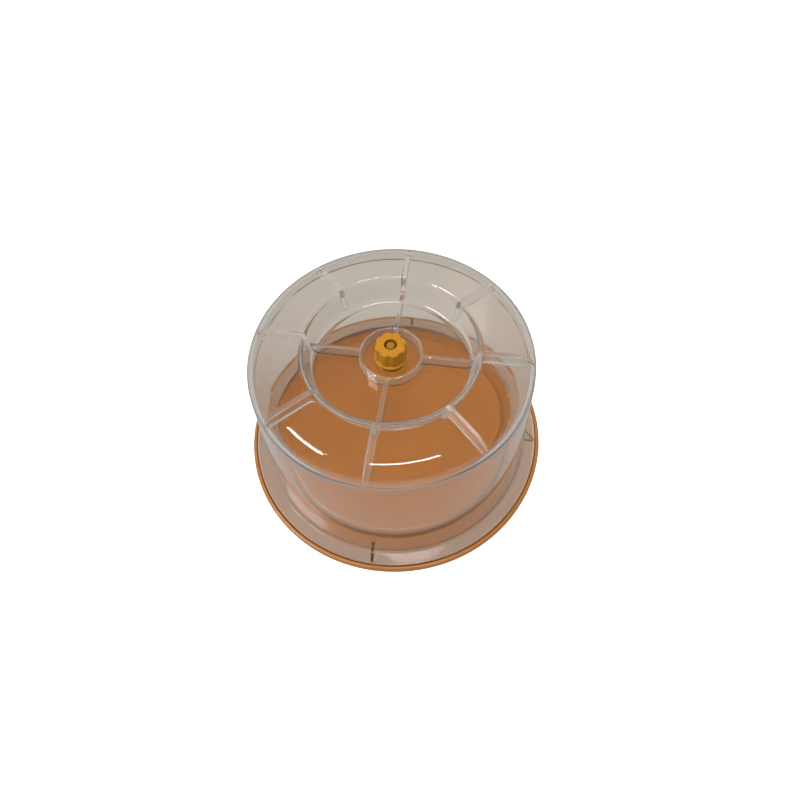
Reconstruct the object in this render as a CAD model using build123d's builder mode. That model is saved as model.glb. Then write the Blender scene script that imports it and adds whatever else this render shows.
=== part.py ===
"""Clear drum cover standing on a round copper-coloured tray, with a star nut on a central stud.

Frame: +Z up, origin at the centre of the tray's underside. The four long ribs of the
cover lie along +X, +Y, -X and -Y. All sizes are in millimetres.
"""

import os
from math import atan, cos, radians, tan

from build123d import *

# ---- Driving dimensions -------------------------------------------------------------

# Tray
TRAY_RADIUS = 159.6
TRAY_WALL = 3.0
RIM_HEIGHT = 6.0
RIM_WIDTH = 4.0
PLATEAU_RADIUS = 123.5
PLATEAU_HEIGHT = 13.0
PLATEAU_DRAFT_DEG = 6.0
PLATEAU_EDGE_FILLET = 5.0

# Drum cover
COVER_HEIGHT = 155.2
COVER_WALL = 3.0
FOOT_RADIUS = 141.3
CROWN_CORNER_RADIUS = 126.1
SHOULDER_FILLET = 18.7
FLANGE_RADIUS = 154.6
FLANGE_THICKNESS = 3.0
FLANGE_BEAD_WIDTH = 2.2
FLANGE_BEAD_RISE = 1.0
FOOT_FILLET = 3.0
WALL_STEP_DEPTH = 0.7
WALL_STEP_HEIGHT = 133.0

# Recess in the crown
RECESS_TOP_RADIUS = 77.2
RECESS_FLOOR_RADIUS = 71.5
RECESS_FLOOR_HEIGHT = 130.0
RECESS_TOP_FILLET = 6.0
RECESS_FOOT_FILLET = 6.0

# Ribs, hub ring, boss and foot gussets, all moulded with the cover
LONG_RIBS = 4
CROWN_RIBS = 8
CROWN_RIB_THICKNESS = 4.8
CROWN_RIB_BOTTOM = 141.0
CROWN_RIB_CORNER = 6.0
CROWN_RIB_EDGE_FILLET = 1.0
RIB_TAIL_BOTTOM = 131.0
RIB_TAIL_DEPTH = 3.0
FLOOR_RIB_THICKNESS = 3.4
FLOOR_RIB_TOP = 140.8
HUB_RING_RADIUS = 28.8
HUB_RING_THICKNESS = 2.4
HUB_RING_TOP = 141.5
RIB_TOP_FILLET = 0.8
BOSS_RADIUS = 13.6
BOSS_HEIGHT = 4.0
GUSSET_THICKNESS = 3.0
GUSSET_RISE = 22.0
GUSSET_FOOT_RISE = 1.2

# Centre fastener
STUD_RADIUS = 4.0
STUD_TOP = 151.9
STUD_HEAD_RADIUS = 6.8
STUD_HEAD_HEIGHT = 3.5
STUD_HOLE_CLEARANCE = 0.3
THREAD_CLEARANCE = 0.05
SEAL_RADIUS = 7.6
SEAL_THICKNESS = 1.5
WASHER_RADIUS = 15.2
WASHER_THICKNESS = 3.0
NUT_HEIGHT = 15.5
NUT_RADIUS = 13.8
NUT_LOBES = 8
NUT_FLUTE_DEPTH = 1.4
NUT_FLUTE_RADIUS = 4.2
NUT_PHASE_DEG = 25.5
NUT_THREAD_LENGTH = 6.0
NUT_COUNTERBORE_RADIUS = 5.8

# ---- Heights and radii that follow from them ----------------------------------------

flange_bottom = TRAY_WALL
flange_top = flange_bottom + FLANGE_THICKNESS
bead_radius = FLANGE_RADIUS - FLANGE_BEAD_WIDTH
bead_top = flange_top + FLANGE_BEAD_RISE
wall_draft = atan((FOOT_RADIUS - CROWN_CORNER_RADIUS) / (COVER_HEIGHT - flange_top))
recess_draft = atan((RECESS_TOP_RADIUS - RECESS_FLOOR_RADIUS) / (COVER_HEIGHT - RECESS_FLOOR_HEIGHT))
crown_underside = COVER_HEIGHT - COVER_WALL
floor_underside = RECESS_FLOOR_HEIGHT - COVER_WALL
boss_top = RECESS_FLOOR_HEIGHT + BOSS_HEIGHT
nut_bottom = boss_top + WASHER_THICKNESS
nut_top = nut_bottom + NUT_HEIGHT
stud_hole_radius = STUD_RADIUS + STUD_HOLE_CLEARANCE
threaded_bore_radius = STUD_RADIUS + THREAD_CLEARANCE
head_top = floor_underside - SEAL_THICKNESS


def wall_radius(height):
    """Outer radius of the drum's drafted wall at a height."""
    return FOOT_RADIUS - (height - flange_top) * tan(wall_draft)


def inner_wall_radius(height):
    """Inner radius of the drum's wall below its step."""
    return wall_radius(height) - COVER_WALL / cos(wall_draft)


def recess_radius(height):
    """Radius of the recess wall's upper surface at a height."""
    return RECESS_FLOOR_RADIUS + (height - RECESS_FLOOR_HEIGHT) * tan(recess_draft)


def under_recess_radius(height):
    """Radius of the recess wall's underside at a height."""
    return recess_radius(height) + COVER_WALL / cos(recess_draft)


# ---- Tray ---------------------------------------------------------------------------

plateau_foot_radius = PLATEAU_RADIUS + (PLATEAU_HEIGHT - TRAY_WALL) * tan(radians(PLATEAU_DRAFT_DEG))
plateau_inset = TRAY_WALL / cos(radians(PLATEAU_DRAFT_DEG))
hollow_foot_radius = PLATEAU_RADIUS + PLATEAU_HEIGHT * tan(radians(PLATEAU_DRAFT_DEG)) - plateau_inset
hollow_top = PLATEAU_HEIGHT - TRAY_WALL
hollow_top_radius = hollow_foot_radius - hollow_top * tan(radians(PLATEAU_DRAFT_DEG))

with BuildPart() as base_tray:
    with BuildSketch(Plane.XZ):
        with BuildLine():
            Line((0, hollow_top), (0, PLATEAU_HEIGHT))
            FilletPolyline(
                (0, PLATEAU_HEIGHT),
                (PLATEAU_RADIUS, PLATEAU_HEIGHT),
                (plateau_foot_radius, TRAY_WALL),
                (TRAY_RADIUS - RIM_WIDTH, TRAY_WALL),
                (TRAY_RADIUS - RIM_WIDTH, RIM_HEIGHT),
                (TRAY_RADIUS, RIM_HEIGHT),
                (TRAY_RADIUS, 0),
                (hollow_foot_radius, 0),
                (hollow_top_radius, hollow_top),
                (0, hollow_top),
                radius=[PLATEAU_EDGE_FILLET, 1.5, 1.0, 0.8, 2.0, 0.8, 0.5, 1.5],
            )
        make_face()
    revolve(axis=Axis.Z)
base_tray.part.label = "base_tray"

# ---- Ribs of the cover --------------------------------------------------------------

rib_inner = under_recess_radius(CROWN_RIB_BOTTOM) - 1
rib_outer = wall_radius(COVER_HEIGHT) - 8
tail_radius = under_recess_radius(RIB_TAIL_BOTTOM)

# One crown rib: a web under the crown, from the drum's wall to the recess wall, with a
# tail that runs down the back of the recess wall.
with BuildPart() as crown_rib:
    with BuildSketch(Plane.XZ):
        with BuildLine():
            FilletPolyline(
                (rib_outer, crown_underside + 1),
                (inner_wall_radius(CROWN_RIB_BOTTOM) + 1, CROWN_RIB_BOTTOM),
                (rib_inner + RIB_TAIL_DEPTH + 3, CROWN_RIB_BOTTOM),
                (tail_radius + RIB_TAIL_DEPTH, RIB_TAIL_BOTTOM),
                (tail_radius - 1, RIB_TAIL_BOTTOM),
                radius=[0.5, CROWN_RIB_CORNER, 2.0],
            )
            Polyline(
                (tail_radius - 1, RIB_TAIL_BOTTOM),
                (under_recess_radius(crown_underside) - 1, crown_underside + 1),
                (rib_outer, crown_underside + 1),
            )
        make_face()
    extrude(amount=CROWN_RIB_THICKNESS / 2, both=True)
    # Round the long edges of the rib's lower side and tail.
    lower_faces = crown_rib.faces().filter_by(Axis.Y, reverse=True).sort_by(Axis.Z)[:4]
    fillet(
        lower_faces.edges().filter_by(lambda edge: abs(edge.tangent_at(0.5).Y) < 0.1),
        radius=CROWN_RIB_EDGE_FILLET,
    )

# One floor rib: a web standing on the recess floor, from the hub ring to the recess wall.
with BuildPart() as floor_rib:
    with BuildSketch(Plane.XZ):
        with BuildLine():
            Polyline(
                (HUB_RING_RADIUS - 1, RECESS_FLOOR_HEIGHT - 1),
                (recess_radius(RECESS_FLOOR_HEIGHT) + 1, RECESS_FLOOR_HEIGHT - 1),
                (recess_radius(FLOOR_RIB_TOP) + 1, FLOOR_RIB_TOP),
                (HUB_RING_RADIUS - 1, FLOOR_RIB_TOP),
                close=True,
            )
        make_face()
    extrude(amount=FLOOR_RIB_THICKNESS / 2, both=True)
    fillet(floor_rib.faces().sort_by(Axis.Z)[-1].edges().filter_by(Axis.X), radius=RIB_TOP_FILLET)

# One foot gusset: a small web between the drum's wall and its flange.
gusset_top = flange_top + GUSSET_RISE
with BuildPart() as foot_gusset:
    with BuildSketch(Plane.XZ):
        with BuildLine():
            Polyline(
                (FOOT_RADIUS - 2, flange_top - 1),
                (bead_radius + 1, flange_top - 1),
                (bead_radius + 1, flange_top + GUSSET_FOOT_RISE),
                (wall_radius(gusset_top), gusset_top),
                (wall_radius(gusset_top) - 1, gusset_top),
                close=True,
            )
        make_face()
    extrude(amount=GUSSET_THICKNESS / 2, both=True)

# ---- Drum cover ---------------------------------------------------------------------

step_radius = inner_wall_radius(WALL_STEP_HEIGHT)

with BuildPart() as drum_cover:
    # Wall, crown and recess as one drafted shell of even thickness.
    with BuildSketch(Plane.XZ):
        with BuildLine():
            FilletPolyline(
                (stud_hole_radius, boss_top),
                (BOSS_RADIUS, boss_top),
                (BOSS_RADIUS, RECESS_FLOOR_HEIGHT),
                (RECESS_FLOOR_RADIUS, RECESS_FLOOR_HEIGHT),
                (RECESS_TOP_RADIUS, COVER_HEIGHT),
                (CROWN_CORNER_RADIUS, COVER_HEIGHT),
                (FOOT_RADIUS, flange_top),
                (bead_radius, flange_top),
                (bead_radius, bead_top),
                (FLANGE_RADIUS, bead_top),
                (FLANGE_RADIUS, flange_bottom),
                (inner_wall_radius(flange_bottom), flange_bottom),
                (step_radius, WALL_STEP_HEIGHT),
                radius=[
                    0.8,
                    0.8,
                    RECESS_FOOT_FILLET,
                    RECESS_TOP_FILLET,
                    SHOULDER_FILLET,
                    FOOT_FILLET,
                    0.4,
                    0.6,
                    0.6,
                    0.8,
                    0.8,
                ],
            )
            FilletPolyline(
                (step_radius, WALL_STEP_HEIGHT),
                (step_radius - WALL_STEP_DEPTH, WALL_STEP_HEIGHT),
                (inner_wall_radius(crown_underside) - WALL_STEP_DEPTH, crown_underside),
                (under_recess_radius(crown_underside), crown_underside),
                (under_recess_radius(floor_underside), floor_underside),
                (stud_hole_radius, floor_underside),
                radius=[
                    0.2,
                    SHOULDER_FILLET - COVER_WALL,
                    RECESS_TOP_FILLET - COVER_WALL,
                    RECESS_FOOT_FILLET + COVER_WALL,
                ],
            )
            Line((stud_hole_radius, floor_underside), (stud_hole_radius, boss_top))
        make_face()
    revolve(axis=Axis.Z)

    # Hub ring standing on the recess floor.
    with BuildSketch(Plane.XY.offset(RECESS_FLOOR_HEIGHT - 1)):
        Circle(HUB_RING_RADIUS)
        Circle(HUB_RING_RADIUS - HUB_RING_THICKNESS, mode=Mode.SUBTRACT)
    extrude(amount=HUB_RING_TOP - RECESS_FLOOR_HEIGHT + 1)
    level_faces = drum_cover.faces().filter_by(Axis.Z)
    ring_top = level_faces.filter_by_position(Axis.Z, HUB_RING_TOP - 0.1, HUB_RING_TOP + 0.1)
    fillet(ring_top.edges(), radius=RIB_TOP_FILLET)

    with PolarLocations(0, CROWN_RIBS):
        add(crown_rib.part)
    with PolarLocations(0, LONG_RIBS):
        add(floor_rib.part)
        add(foot_gusset.part)
drum_cover.part.label = "drum_cover"

# ---- Centre fastener ----------------------------------------------------------------

with BuildPart() as centre_stud:
    with BuildSketch(Plane.XY.offset(head_top - STUD_HEAD_HEIGHT)):
        Circle(STUD_HEAD_RADIUS)
    extrude(amount=STUD_HEAD_HEIGHT)
    chamfer(centre_stud.edges().filter_by(GeomType.CIRCLE).sort_by(Axis.Z)[0], length=0.8)
    with BuildSketch(Plane.XY.offset(head_top)):
        Circle(STUD_RADIUS)
    extrude(amount=STUD_TOP - head_top)
    chamfer(centre_stud.edges().filter_by(GeomType.CIRCLE).sort_by(Axis.Z)[-1], length=0.9)
centre_stud.part.label = "centre_stud"

with BuildPart() as stud_seal:
    with BuildSketch(Plane.XY.offset(head_top)):
        Circle(SEAL_RADIUS)
        Circle(stud_hole_radius, mode=Mode.SUBTRACT)
    extrude(amount=SEAL_THICKNESS)
    fillet(stud_seal.edges().filter_by(GeomType.CIRCLE).sort_by(SortBy.RADIUS)[-2:], radius=0.5)
stud_seal.part.label = "stud_seal"

with BuildPart() as nut_washer:
    with BuildSketch(Plane.XY.offset(boss_top)):
        Circle(WASHER_RADIUS)
        Circle(stud_hole_radius, mode=Mode.SUBTRACT)
    extrude(amount=WASHER_THICKNESS)
    fillet(nut_washer.edges().filter_by(GeomType.CIRCLE).sort_by(SortBy.RADIUS)[-2:], radius=0.6)
nut_washer.part.label = "nut_washer"

with BuildPart() as star_nut:
    with BuildSketch(Plane.XY.offset(nut_bottom)) as star:
        Circle(NUT_RADIUS)
        flute_offset = NUT_RADIUS - NUT_FLUTE_DEPTH + NUT_FLUTE_RADIUS
        flute_start = NUT_PHASE_DEG + 180 / NUT_LOBES
        with PolarLocations(flute_offset, NUT_LOBES, start_angle=flute_start):
            Circle(NUT_FLUTE_RADIUS, mode=Mode.SUBTRACT)
        fillet(star.vertices(), radius=1.0)
    extrude(amount=NUT_HEIGHT)
    chamfer(star_nut.faces().sort_by(Axis.Z)[-1].edges(), length=0.7)
    with Locations((0, 0, nut_top)):
        CounterBoreHole(
            radius=threaded_bore_radius,
            counter_bore_radius=NUT_COUNTERBORE_RADIUS,
            counter_bore_depth=NUT_HEIGHT - NUT_THREAD_LENGTH,
        )
star_nut.part.label = "star_nut"

# ---- Files --------------------------------------------------------------------------

os.makedirs("parts", exist_ok=True)
for piece in (base_tray, drum_cover, centre_stud, stud_seal, nut_washer, star_nut):
    export_step(piece.part, f"parts/{piece.part.label}.step")
    print(f"{piece.part.label}: {len(piece.part.solids())} solid, {piece.part.volume / 1000:.1f} cm3")
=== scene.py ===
"""Looks of the covered drum: clear ribbed cover, copper-coloured tray, mustard star nut."""

from math import radians

import bpy
from mathutils import Matrix, Vector


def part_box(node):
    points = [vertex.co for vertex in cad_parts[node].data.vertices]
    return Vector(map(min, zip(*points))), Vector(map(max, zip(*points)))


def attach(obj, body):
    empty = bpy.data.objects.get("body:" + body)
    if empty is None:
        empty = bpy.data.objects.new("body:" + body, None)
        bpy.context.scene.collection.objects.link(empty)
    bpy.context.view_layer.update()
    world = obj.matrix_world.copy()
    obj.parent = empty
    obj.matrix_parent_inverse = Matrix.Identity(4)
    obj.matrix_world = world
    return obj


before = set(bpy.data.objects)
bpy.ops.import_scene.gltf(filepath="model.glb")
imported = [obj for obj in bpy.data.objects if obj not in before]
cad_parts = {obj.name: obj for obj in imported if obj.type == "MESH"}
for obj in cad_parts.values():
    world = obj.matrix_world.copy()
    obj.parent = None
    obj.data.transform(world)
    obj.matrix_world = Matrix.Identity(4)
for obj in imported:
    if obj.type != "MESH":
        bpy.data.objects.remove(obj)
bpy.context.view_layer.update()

# ---- Camera: the viewing angle, distance and lens --------------------------------------

CAMERA_AZIMUTH = 10.4
CAMERA_ELEVATION = 59.05
CAMERA_ROLL = -2.43
CAMERA_PLACE = Vector((0.0523, -0.2507, 0.4850))
CAMERA_LENS = 21.6
CAMERA_SENSOR = 36.0


def add_camera():
    """Puts the camera above the front of the drum, looking steeply down."""
    data = bpy.data.cameras.new("camera")
    data.sensor_width = CAMERA_SENSOR
    data.lens = CAMERA_LENS
    data.clip_start = 0.01
    camera = bpy.data.objects.new("camera", data)
    bpy.context.collection.objects.link(camera)
    turn = Matrix.Rotation(radians(CAMERA_AZIMUTH), 4, "Z")
    tilt = Matrix.Rotation(radians(90 - CAMERA_ELEVATION), 4, "X")
    roll = Matrix.Rotation(radians(CAMERA_ROLL), 4, "Z")
    camera.matrix_world = Matrix.Translation(CAMERA_PLACE) @ turn @ tilt @ roll
    bpy.context.scene.camera = camera


# ---- Materials -------------------------------------------------------------------------

# The clear moulding is slightly milky: on faces seen edge-on, on its ribs, on some rings about
# the axis and on the foot flange. Lengths are in metres. Each ring has its radius, half its width
# and its haze. Each set of ribs has their number, their inner and outer radius, half their width
# and their haze. The rings and ribs start above the crown's foot, and the flange ends at its top.
WALL_HAZE_COLOUR = (0.52, 0.51, 0.51)
# The flange's milkiness is real frosting, but its tan colour is painted light: the copper tray's
# colour shining up through it.
FLANGE_MILK_AND_COPPER_LIGHT_COLOUR = (0.74, 0.59, 0.49)
EDGE_HAZE = 0.45
EDGE_HAZE_SHARPNESS = 4.0
EVEN_BLEND = 0.5
MILKY_RINGS = {
    "hub_ring": (0.0276, 0.0024, 0.11),
    "recess_wall": (0.0755, 0.005, 0.12),
    "shoulder": (0.1265, 0.0035, 0.12),
}
MILKY_RIBS = {
    "crown_ribs": (8, 0.078, 0.126, 0.0027, 0.07),
    "floor_ribs": (4, 0.028, 0.071, 0.0021, 0.10),
}
CROWN_FOOT = 0.129
FLANGE_HAZE = 0.36
FLANGE_HAZE_TOP = 0.009
HEIGHT_FADE = 0.002
RIB_SIDE_FADE = 0.0004
RIB_END_FADE = 0.001

# The tray's rim is painted paler than its floor from this radius outwards, a painted highlight
# for the light on the bare rim.
LIT_RIM_RADIUS = 0.1552
LIT_RIM_FADE = 0.001
LIT_RIM_COLOUR = (0.40, 0.165, 0.045)


def new_material(name):
    """A new material with its Principled shader, its output and its tree."""
    material = bpy.data.materials.new(name)
    material.use_nodes = True
    tree = material.node_tree
    return material, tree, tree.nodes["Principled BSDF"], tree.nodes["Material Output"]


def add_noise(tree, scale, detail=2.0, roughness=0.5, stretch=(1.0, 1.0, 1.0)):
    """Noise over the object's own coordinates, in metres."""
    place = tree.nodes.new("ShaderNodeTexCoord")
    mapping = tree.nodes.new("ShaderNodeMapping")
    mapping.inputs["Scale"].default_value = stretch
    noise = tree.nodes.new("ShaderNodeTexNoise")
    noise.inputs["Scale"].default_value = scale
    noise.inputs["Detail"].default_value = detail
    noise.inputs["Roughness"].default_value = roughness
    tree.links.new(place.outputs["Object"], mapping.inputs["Vector"])
    tree.links.new(mapping.outputs["Vector"], noise.inputs["Vector"])
    return noise


def add_range(tree, source, low, high):
    """Maps a 0 to 1 value to the range low to high."""
    span = tree.nodes.new("ShaderNodeMapRange")
    span.inputs["To Min"].default_value = low
    span.inputs["To Max"].default_value = high
    tree.links.new(source, span.inputs["Value"])
    return span.outputs["Result"]


def add_bump(tree, source, shader, strength, distance):
    """Bumps a shader's normal by a height."""
    bump = tree.nodes.new("ShaderNodeBump")
    bump.inputs["Strength"].default_value = strength
    bump.inputs["Distance"].default_value = distance
    tree.links.new(source, bump.inputs["Height"])
    tree.links.new(bump.outputs["Normal"], shader.inputs["Normal"])


def blend_colours(tree, source, first, second):
    """A colour that runs from first to second as source goes from 0 to 1."""
    mix = tree.nodes.new("ShaderNodeMix")
    mix.data_type = "RGBA"
    mix.inputs["A"].default_value = (*first, 1.0)
    mix.inputs["B"].default_value = (*second, 1.0)
    tree.links.new(source, mix.inputs["Factor"])
    return mix.outputs["Result"]


def add_maths(tree, operation, first, second):
    """One calculation on two values, where the second may be a plain number.

    Calculations that take one value ignore the second.
    """
    maths = tree.nodes.new("ShaderNodeMath")
    maths.operation = operation
    tree.links.new(first, maths.inputs[0])
    if isinstance(second, float):
        maths.inputs[1].default_value = second
    else:
        tree.links.new(second, maths.inputs[1])
    return maths.outputs["Value"]


def add_zone(tree, source, start, end, amount):
    """Rises from 0 where source is start to amount where it is end."""
    zone = tree.nodes.new("ShaderNodeMapRange")
    zone.inputs["From Min"].default_value = start
    zone.inputs["From Max"].default_value = end
    zone.inputs["To Max"].default_value = amount
    tree.links.new(source, zone.inputs["Value"])
    return zone.outputs["Result"]


def add_axis_distance(tree):
    """The object's own coordinates, split, and the distance from the drum's axis."""
    place = tree.nodes.new("ShaderNodeTexCoord")
    split = tree.nodes.new("ShaderNodeSeparateXYZ")
    tree.links.new(place.outputs["Object"], split.inputs["Vector"])
    squares = add_maths(tree, "POWER", split.outputs["X"], 2.0)
    squares = add_maths(tree, "ADD", squares, add_maths(tree, "POWER", split.outputs["Y"], 2.0))
    return split, add_maths(tree, "SQRT", squares, 0.0)


def add_rib_zone(tree, split, radius, count, inner, outer, half_width, amount):
    """Rises to amount on ribs at even angles about the axis, from inner to outer radius."""
    angle = add_maths(tree, "ARCTAN2", split.outputs["Y"], split.outputs["X"])
    turned = add_maths(tree, "MULTIPLY", angle, count / 2)
    wave = add_maths(tree, "ABSOLUTE", add_maths(tree, "SINE", turned, 0.0), 0.0)
    away = add_maths(tree, "MULTIPLY", wave, radius)
    away = add_maths(tree, "MULTIPLY", away, 2 / count)
    ribs = add_zone(tree, away, half_width, half_width - RIB_SIDE_FADE, amount)
    start = add_zone(tree, radius, inner, inner + RIB_END_FADE, 1.0)
    end = add_zone(tree, radius, outer + RIB_END_FADE, outer, 1.0)
    return add_maths(tree, "MULTIPLY", ribs, add_maths(tree, "MULTIPLY", start, end))


def add_haze(tree):
    """How milky the clear moulding is, and the colour of its milkiness; on the flange that colour
    is painted tan light from the copper under it.
    """
    facing = tree.nodes.new("ShaderNodeLayerWeight")
    facing.inputs["Blend"].default_value = EVEN_BLEND
    sharp = add_maths(tree, "POWER", facing.outputs["Facing"], EDGE_HAZE_SHARPNESS)
    edge = add_maths(tree, "MULTIPLY", sharp, EDGE_HAZE)
    split, radius = add_axis_distance(tree)
    height = split.outputs["Z"]
    foot = add_zone(tree, height, FLANGE_HAZE_TOP, FLANGE_HAZE_TOP - HEIGHT_FADE, 1.0)
    crown = add_zone(tree, height, CROWN_FOOT, CROWN_FOOT + HEIGHT_FADE, 1.0)
    rib_sets = [add_rib_zone(tree, split, radius, *ribs) for ribs in MILKY_RIBS.values()]
    moulded = add_maths(tree, "MAXIMUM", *rib_sets)
    for ring_radius, half_width, amount in MILKY_RINGS.values():
        away = add_maths(tree, "SUBTRACT", radius, ring_radius)
        away = add_maths(tree, "ABSOLUTE", away, 0.0)
        ring = add_zone(tree, away, half_width, half_width / 2, amount)
        moulded = add_maths(tree, "MAXIMUM", moulded, ring)
    moulded = add_maths(tree, "MULTIPLY", moulded, crown)
    haze = add_maths(tree, "ADD", edge, add_maths(tree, "MULTIPLY", foot, FLANGE_HAZE))
    haze = add_maths(tree, "ADD", haze, moulded)
    return haze, blend_colours(tree, foot, WALL_HAZE_COLOUR, FLANGE_MILK_AND_COPPER_LIGHT_COLOUR)


def clear_plastic():
    """Crystal-clear moulded plastic, faintly grey. Lamps shine straight through it."""
    material, tree, shader, output = new_material("clear_plastic")
    shader.inputs["Base Color"].default_value = (0.965, 0.965, 0.955, 1.0)
    shader.inputs["Transmission Weight"].default_value = 1.0
    shader.inputs["IOR"].default_value = 1.49
    noise = add_noise(tree, 9.0)
    tree.links.new(add_range(tree, noise.outputs["Fac"], 0.0, 0.03), shader.inputs["Roughness"])
    haze, haze_colour = add_haze(tree)
    milk = tree.nodes.new("ShaderNodeBsdfDiffuse")
    tree.links.new(haze_colour, milk.inputs["Color"])
    body = tree.nodes.new("ShaderNodeMixShader")
    tree.links.new(haze, body.inputs["Fac"])
    tree.links.new(shader.outputs["BSDF"], body.inputs[1])
    tree.links.new(milk.outputs["BSDF"], body.inputs[2])
    clear = tree.nodes.new("ShaderNodeBsdfTransparent")
    clear.inputs["Color"].default_value = (0.93, 0.93, 0.91, 1.0)
    path = tree.nodes.new("ShaderNodeLightPath")
    mix = tree.nodes.new("ShaderNodeMixShader")
    tree.links.new(path.outputs["Is Shadow Ray"], mix.inputs["Fac"])
    tree.links.new(body.outputs["Shader"], mix.inputs[1])
    tree.links.new(clear.outputs["BSDF"], mix.inputs[2])
    tree.links.new(mix.outputs["Shader"], output.inputs["Surface"])
    return material


def copper_tray():
    """Satin copper-coloured plastic with fine metallic flake, and a rim painted paler as a
    painted highlight.
    """
    material, tree, shader, _ = new_material("copper_tray")
    shader.inputs["Metallic"].default_value = 0.2
    shader.inputs["Specular IOR Level"].default_value = 0.15
    shader.inputs["Coat Weight"].default_value = 0.45
    shader.inputs["Coat Roughness"].default_value = 0.08
    flake = add_noise(tree, 1100.0)
    tint = blend_colours(tree, flake.outputs["Fac"], (0.215, 0.062, 0.001), (0.275, 0.088, 0.002))
    _, radius = add_axis_distance(tree)
    # Painted highlight: the rim is painted paler, standing in for the light falling on it.
    lit_rim_mix = tree.nodes.new("ShaderNodeMix")
    lit_rim_mix.data_type = "RGBA"
    rim = add_zone(tree, radius, LIT_RIM_RADIUS, LIT_RIM_RADIUS + LIT_RIM_FADE, 1.0)
    tree.links.new(rim, lit_rim_mix.inputs["Factor"])
    tree.links.new(tint, lit_rim_mix.inputs["A"])
    lit_rim_mix.inputs["B"].default_value = (*LIT_RIM_COLOUR, 1.0)
    tree.links.new(lit_rim_mix.outputs["Result"], shader.inputs["Base Color"])
    cloud = add_noise(tree, 14.0)
    tree.links.new(add_range(tree, cloud.outputs["Fac"], 0.32, 0.46), shader.inputs["Roughness"])
    add_bump(tree, flake.outputs["Fac"], shader, 0.05, 0.0002)
    return material


def mustard_plastic():
    """Matte mustard-yellow moulded plastic with a fine grain."""
    material, tree, shader, _ = new_material("mustard_plastic")
    cloud = add_noise(tree, 120.0)
    tint = blend_colours(tree, cloud.outputs["Fac"], (0.45, 0.185, 0.004), (0.55, 0.235, 0.007))
    tree.links.new(tint, shader.inputs["Base Color"])
    shader.inputs["Specular IOR Level"].default_value = 0.35
    grain = add_noise(tree, 1800.0)
    tree.links.new(add_range(tree, grain.outputs["Fac"], 0.42, 0.58), shader.inputs["Roughness"])
    add_bump(tree, grain.outputs["Fac"], shader, 0.12, 0.0002)
    return material


def stud_brass():
    """Satin brass of the stud."""
    material, tree, shader, _ = new_material("stud_brass")
    shader.inputs["Metallic"].default_value = 0.6
    turned = add_noise(tree, 900.0, stretch=(1.0, 1.0, 6.0))
    tint = blend_colours(tree, turned.outputs["Fac"], (0.40, 0.19, 0.035), (0.52, 0.27, 0.06))
    tree.links.new(tint, shader.inputs["Base Color"])
    tree.links.new(add_range(tree, turned.outputs["Fac"], 0.3, 0.5), shader.inputs["Roughness"])
    return material


def clear_rubber():
    """Translucent pale rubber of the seal."""
    material, tree, shader, _ = new_material("clear_rubber")
    shader.inputs["Base Color"].default_value = (0.7, 0.7, 0.66, 1.0)
    shader.inputs["Transmission Weight"].default_value = 0.6
    grain = add_noise(tree, 700.0)
    tree.links.new(add_range(tree, grain.outputs["Fac"], 0.45, 0.6), shader.inputs["Roughness"])
    return material


def give_material(node, material):
    """Puts a material in every slot of a CAD node's object."""
    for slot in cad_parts[node].material_slots:
        slot.material = material


# ---- Painted shade in the wall's step ---------------------------------------------------

STEP_LINE_RADIUS = 0.1247
STEP_LINE_HEIGHT = 0.133
STEP_LINE_THICKNESS = 0.0005
STEP_LINE_SEGMENTS = 256
STEP_LINE_SIDES = 8


def step_shade_paint():
    """Painted shade: a dark brown line in the step of the wall, patchy along its length."""
    material, tree, shader, _ = new_material("step_shade_paint")
    patches = add_noise(tree, 60.0)
    # Dark brown colours that paint the shade in the step, patchy along the line.
    tint = blend_colours(tree, patches.outputs["Fac"], (0.05, 0.03, 0.02), (0.16, 0.11, 0.08))
    tree.links.new(tint, shader.inputs["Base Color"])
    grain = add_noise(tree, 1500.0)
    tree.links.new(add_range(tree, grain.outputs["Fac"], 0.6, 0.8), shader.inputs["Roughness"])
    return material


def add_step_line():
    """A thin dark line of painted shade round the inside of the wall, in the moulded step below
    the shoulder.
    """
    bpy.ops.mesh.primitive_torus_add(
        major_radius=STEP_LINE_RADIUS,
        minor_radius=STEP_LINE_THICKNESS,
        major_segments=STEP_LINE_SEGMENTS,
        minor_segments=STEP_LINE_SIDES,
        location=(0, 0, STEP_LINE_HEIGHT - STEP_LINE_THICKNESS),
    )
    line = bpy.context.object
    line.name = "wall_step_line"
    line.data.materials.append(step_shade_paint())
    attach(line, "cover")


# ---- Studio ----------------------------------------------------------------------------

FLOOR_SIZE = 6.0
FLOOR_GAP = 0.0002
FLOOR_SHADE = (0.9, 0.9, 0.9)
FLOOR_BRIGHTNESS = 0.75
ROOM_COLOUR = (1.0, 0.95, 0.87)
ROOM_GLOW = 0.46
FLOOR_GLOW = 0.56
LIGHT_TARGET = (0.0, 0.0, 0.12)
STRIP_LIGHTS = (
    ("overhead_light", (0.08, -0.16, 1.6), (0.6, 0.12), 8.0),
    ("left_light", (-0.78, -0.25, 1.4), (0.6, 0.14), 11.0),
)
LIGHT_BOUNCES = 24


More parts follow.
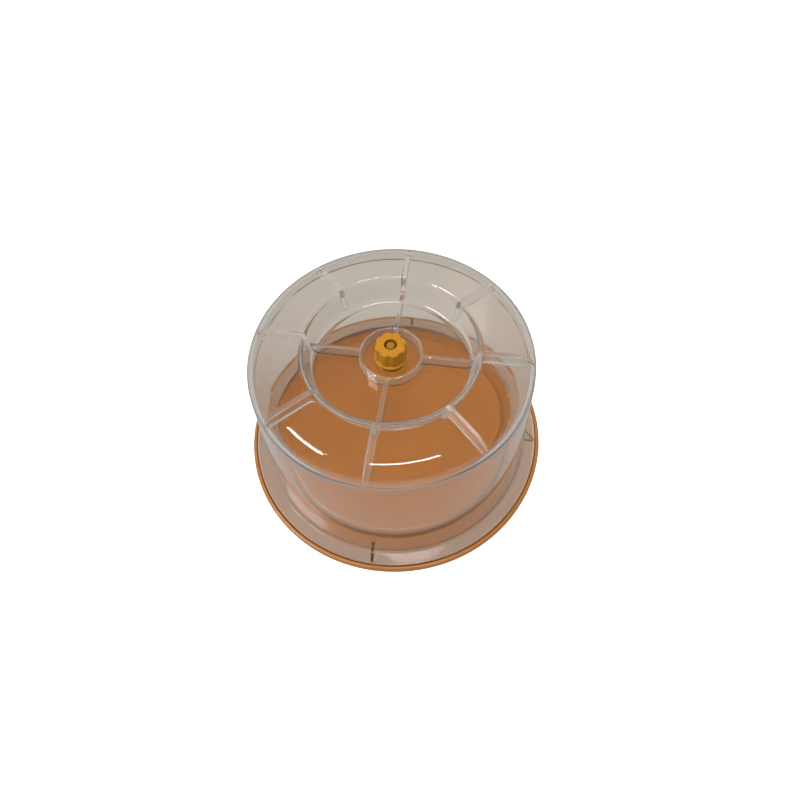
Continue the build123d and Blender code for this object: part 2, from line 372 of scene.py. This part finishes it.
def add_floor():
    """A plain pale floor under the tray. What shines through the drum sees it as light grey."""
    tray_low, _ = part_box("base_tray")
    bpy.ops.mesh.primitive_plane_add(size=FLOOR_SIZE, location=(0, 0, tray_low[2] - FLOOR_GAP))
    floor = bpy.context.object
    floor.name = "floor"
    material, tree, shader, output = new_material("floor_white")
    shader.inputs["Base Color"].default_value = (*FLOOR_SHADE, 1.0)
    shader.inputs["Roughness"].default_value = 0.9
    shader.inputs["Emission Color"].default_value = (1.0, 1.0, 1.0, 1.0)
    shader.inputs["Emission Strength"].default_value = FLOOR_BRIGHTNESS
    glow = tree.nodes.new("ShaderNodeEmission")
    glow.inputs["Color"].default_value = (*ROOM_COLOUR, 1.0)
    glow.inputs["Strength"].default_value = FLOOR_GLOW
    path = tree.nodes.new("ShaderNodeLightPath")
    mix = tree.nodes.new("ShaderNodeMixShader")
    tree.links.new(path.outputs["Is Camera Ray"], mix.inputs["Fac"])
    tree.links.new(glow.outputs["Emission"], mix.inputs[1])
    tree.links.new(shader.outputs["BSDF"], mix.inputs[2])
    tree.links.new(mix.outputs["Shader"], output.inputs["Surface"])
    floor.data.materials.append(material)


def add_area_light(name, place, target, size, power):
    """A soft strip light at a place, turned to a target. Its size is its length and its width."""
    data = bpy.data.lights.new(name, "AREA")
    data.shape = "RECTANGLE"
    data.size, data.size_y = size
    data.energy = power
    light = bpy.data.objects.new(name, data)
    light.location = place
    light.rotation_euler = (Vector(target) - Vector(place)).to_track_quat("-Z", "Y").to_euler()
    bpy.context.collection.objects.link(light)


def add_studio():
    """White behind the drum, a grey room around it, and two soft strip lights above it."""
    world = bpy.data.worlds.new("studio")
    world.use_nodes = True
    tree = world.node_tree
    room = tree.nodes["Background"]
    room.inputs["Color"].default_value = (*ROOM_COLOUR, 1.0)
    room.inputs["Strength"].default_value = ROOM_GLOW
    white = tree.nodes.new("ShaderNodeBackground")
    white.inputs["Color"].default_value = (1.0, 1.0, 1.0, 1.0)
    path = tree.nodes.new("ShaderNodeLightPath")
    mix = tree.nodes.new("ShaderNodeMixShader")
    tree.links.new(path.outputs["Is Camera Ray"], mix.inputs["Fac"])
    tree.links.new(room.outputs["Background"], mix.inputs[1])
    tree.links.new(white.outputs["Background"], mix.inputs[2])
    tree.links.new(mix.outputs["Shader"], tree.nodes["World Output"].inputs["Surface"])
    bpy.context.scene.world = world
    for name, place, size, power in STRIP_LIGHTS:
        add_area_light(name, place, LIGHT_TARGET, size, power)
    scene = bpy.context.scene
    scene.view_settings.view_transform = "Standard"
    scene.cycles.max_bounces = LIGHT_BOUNCES
    scene.cycles.transmission_bounces = LIGHT_BOUNCES
    scene.cycles.transparent_max_bounces = LIGHT_BOUNCES


# ---- Scene -----------------------------------------------------------------------------

add_camera()
add_studio()
add_floor()
give_material("drum_cover", clear_plastic())
give_material("base_tray", copper_tray())
give_material("stud_seal", clear_rubber())
give_material("centre_stud", stud_brass())
mustard = mustard_plastic()
give_material("nut_washer", mustard)
give_material("star_nut", mustard)

add_step_line()
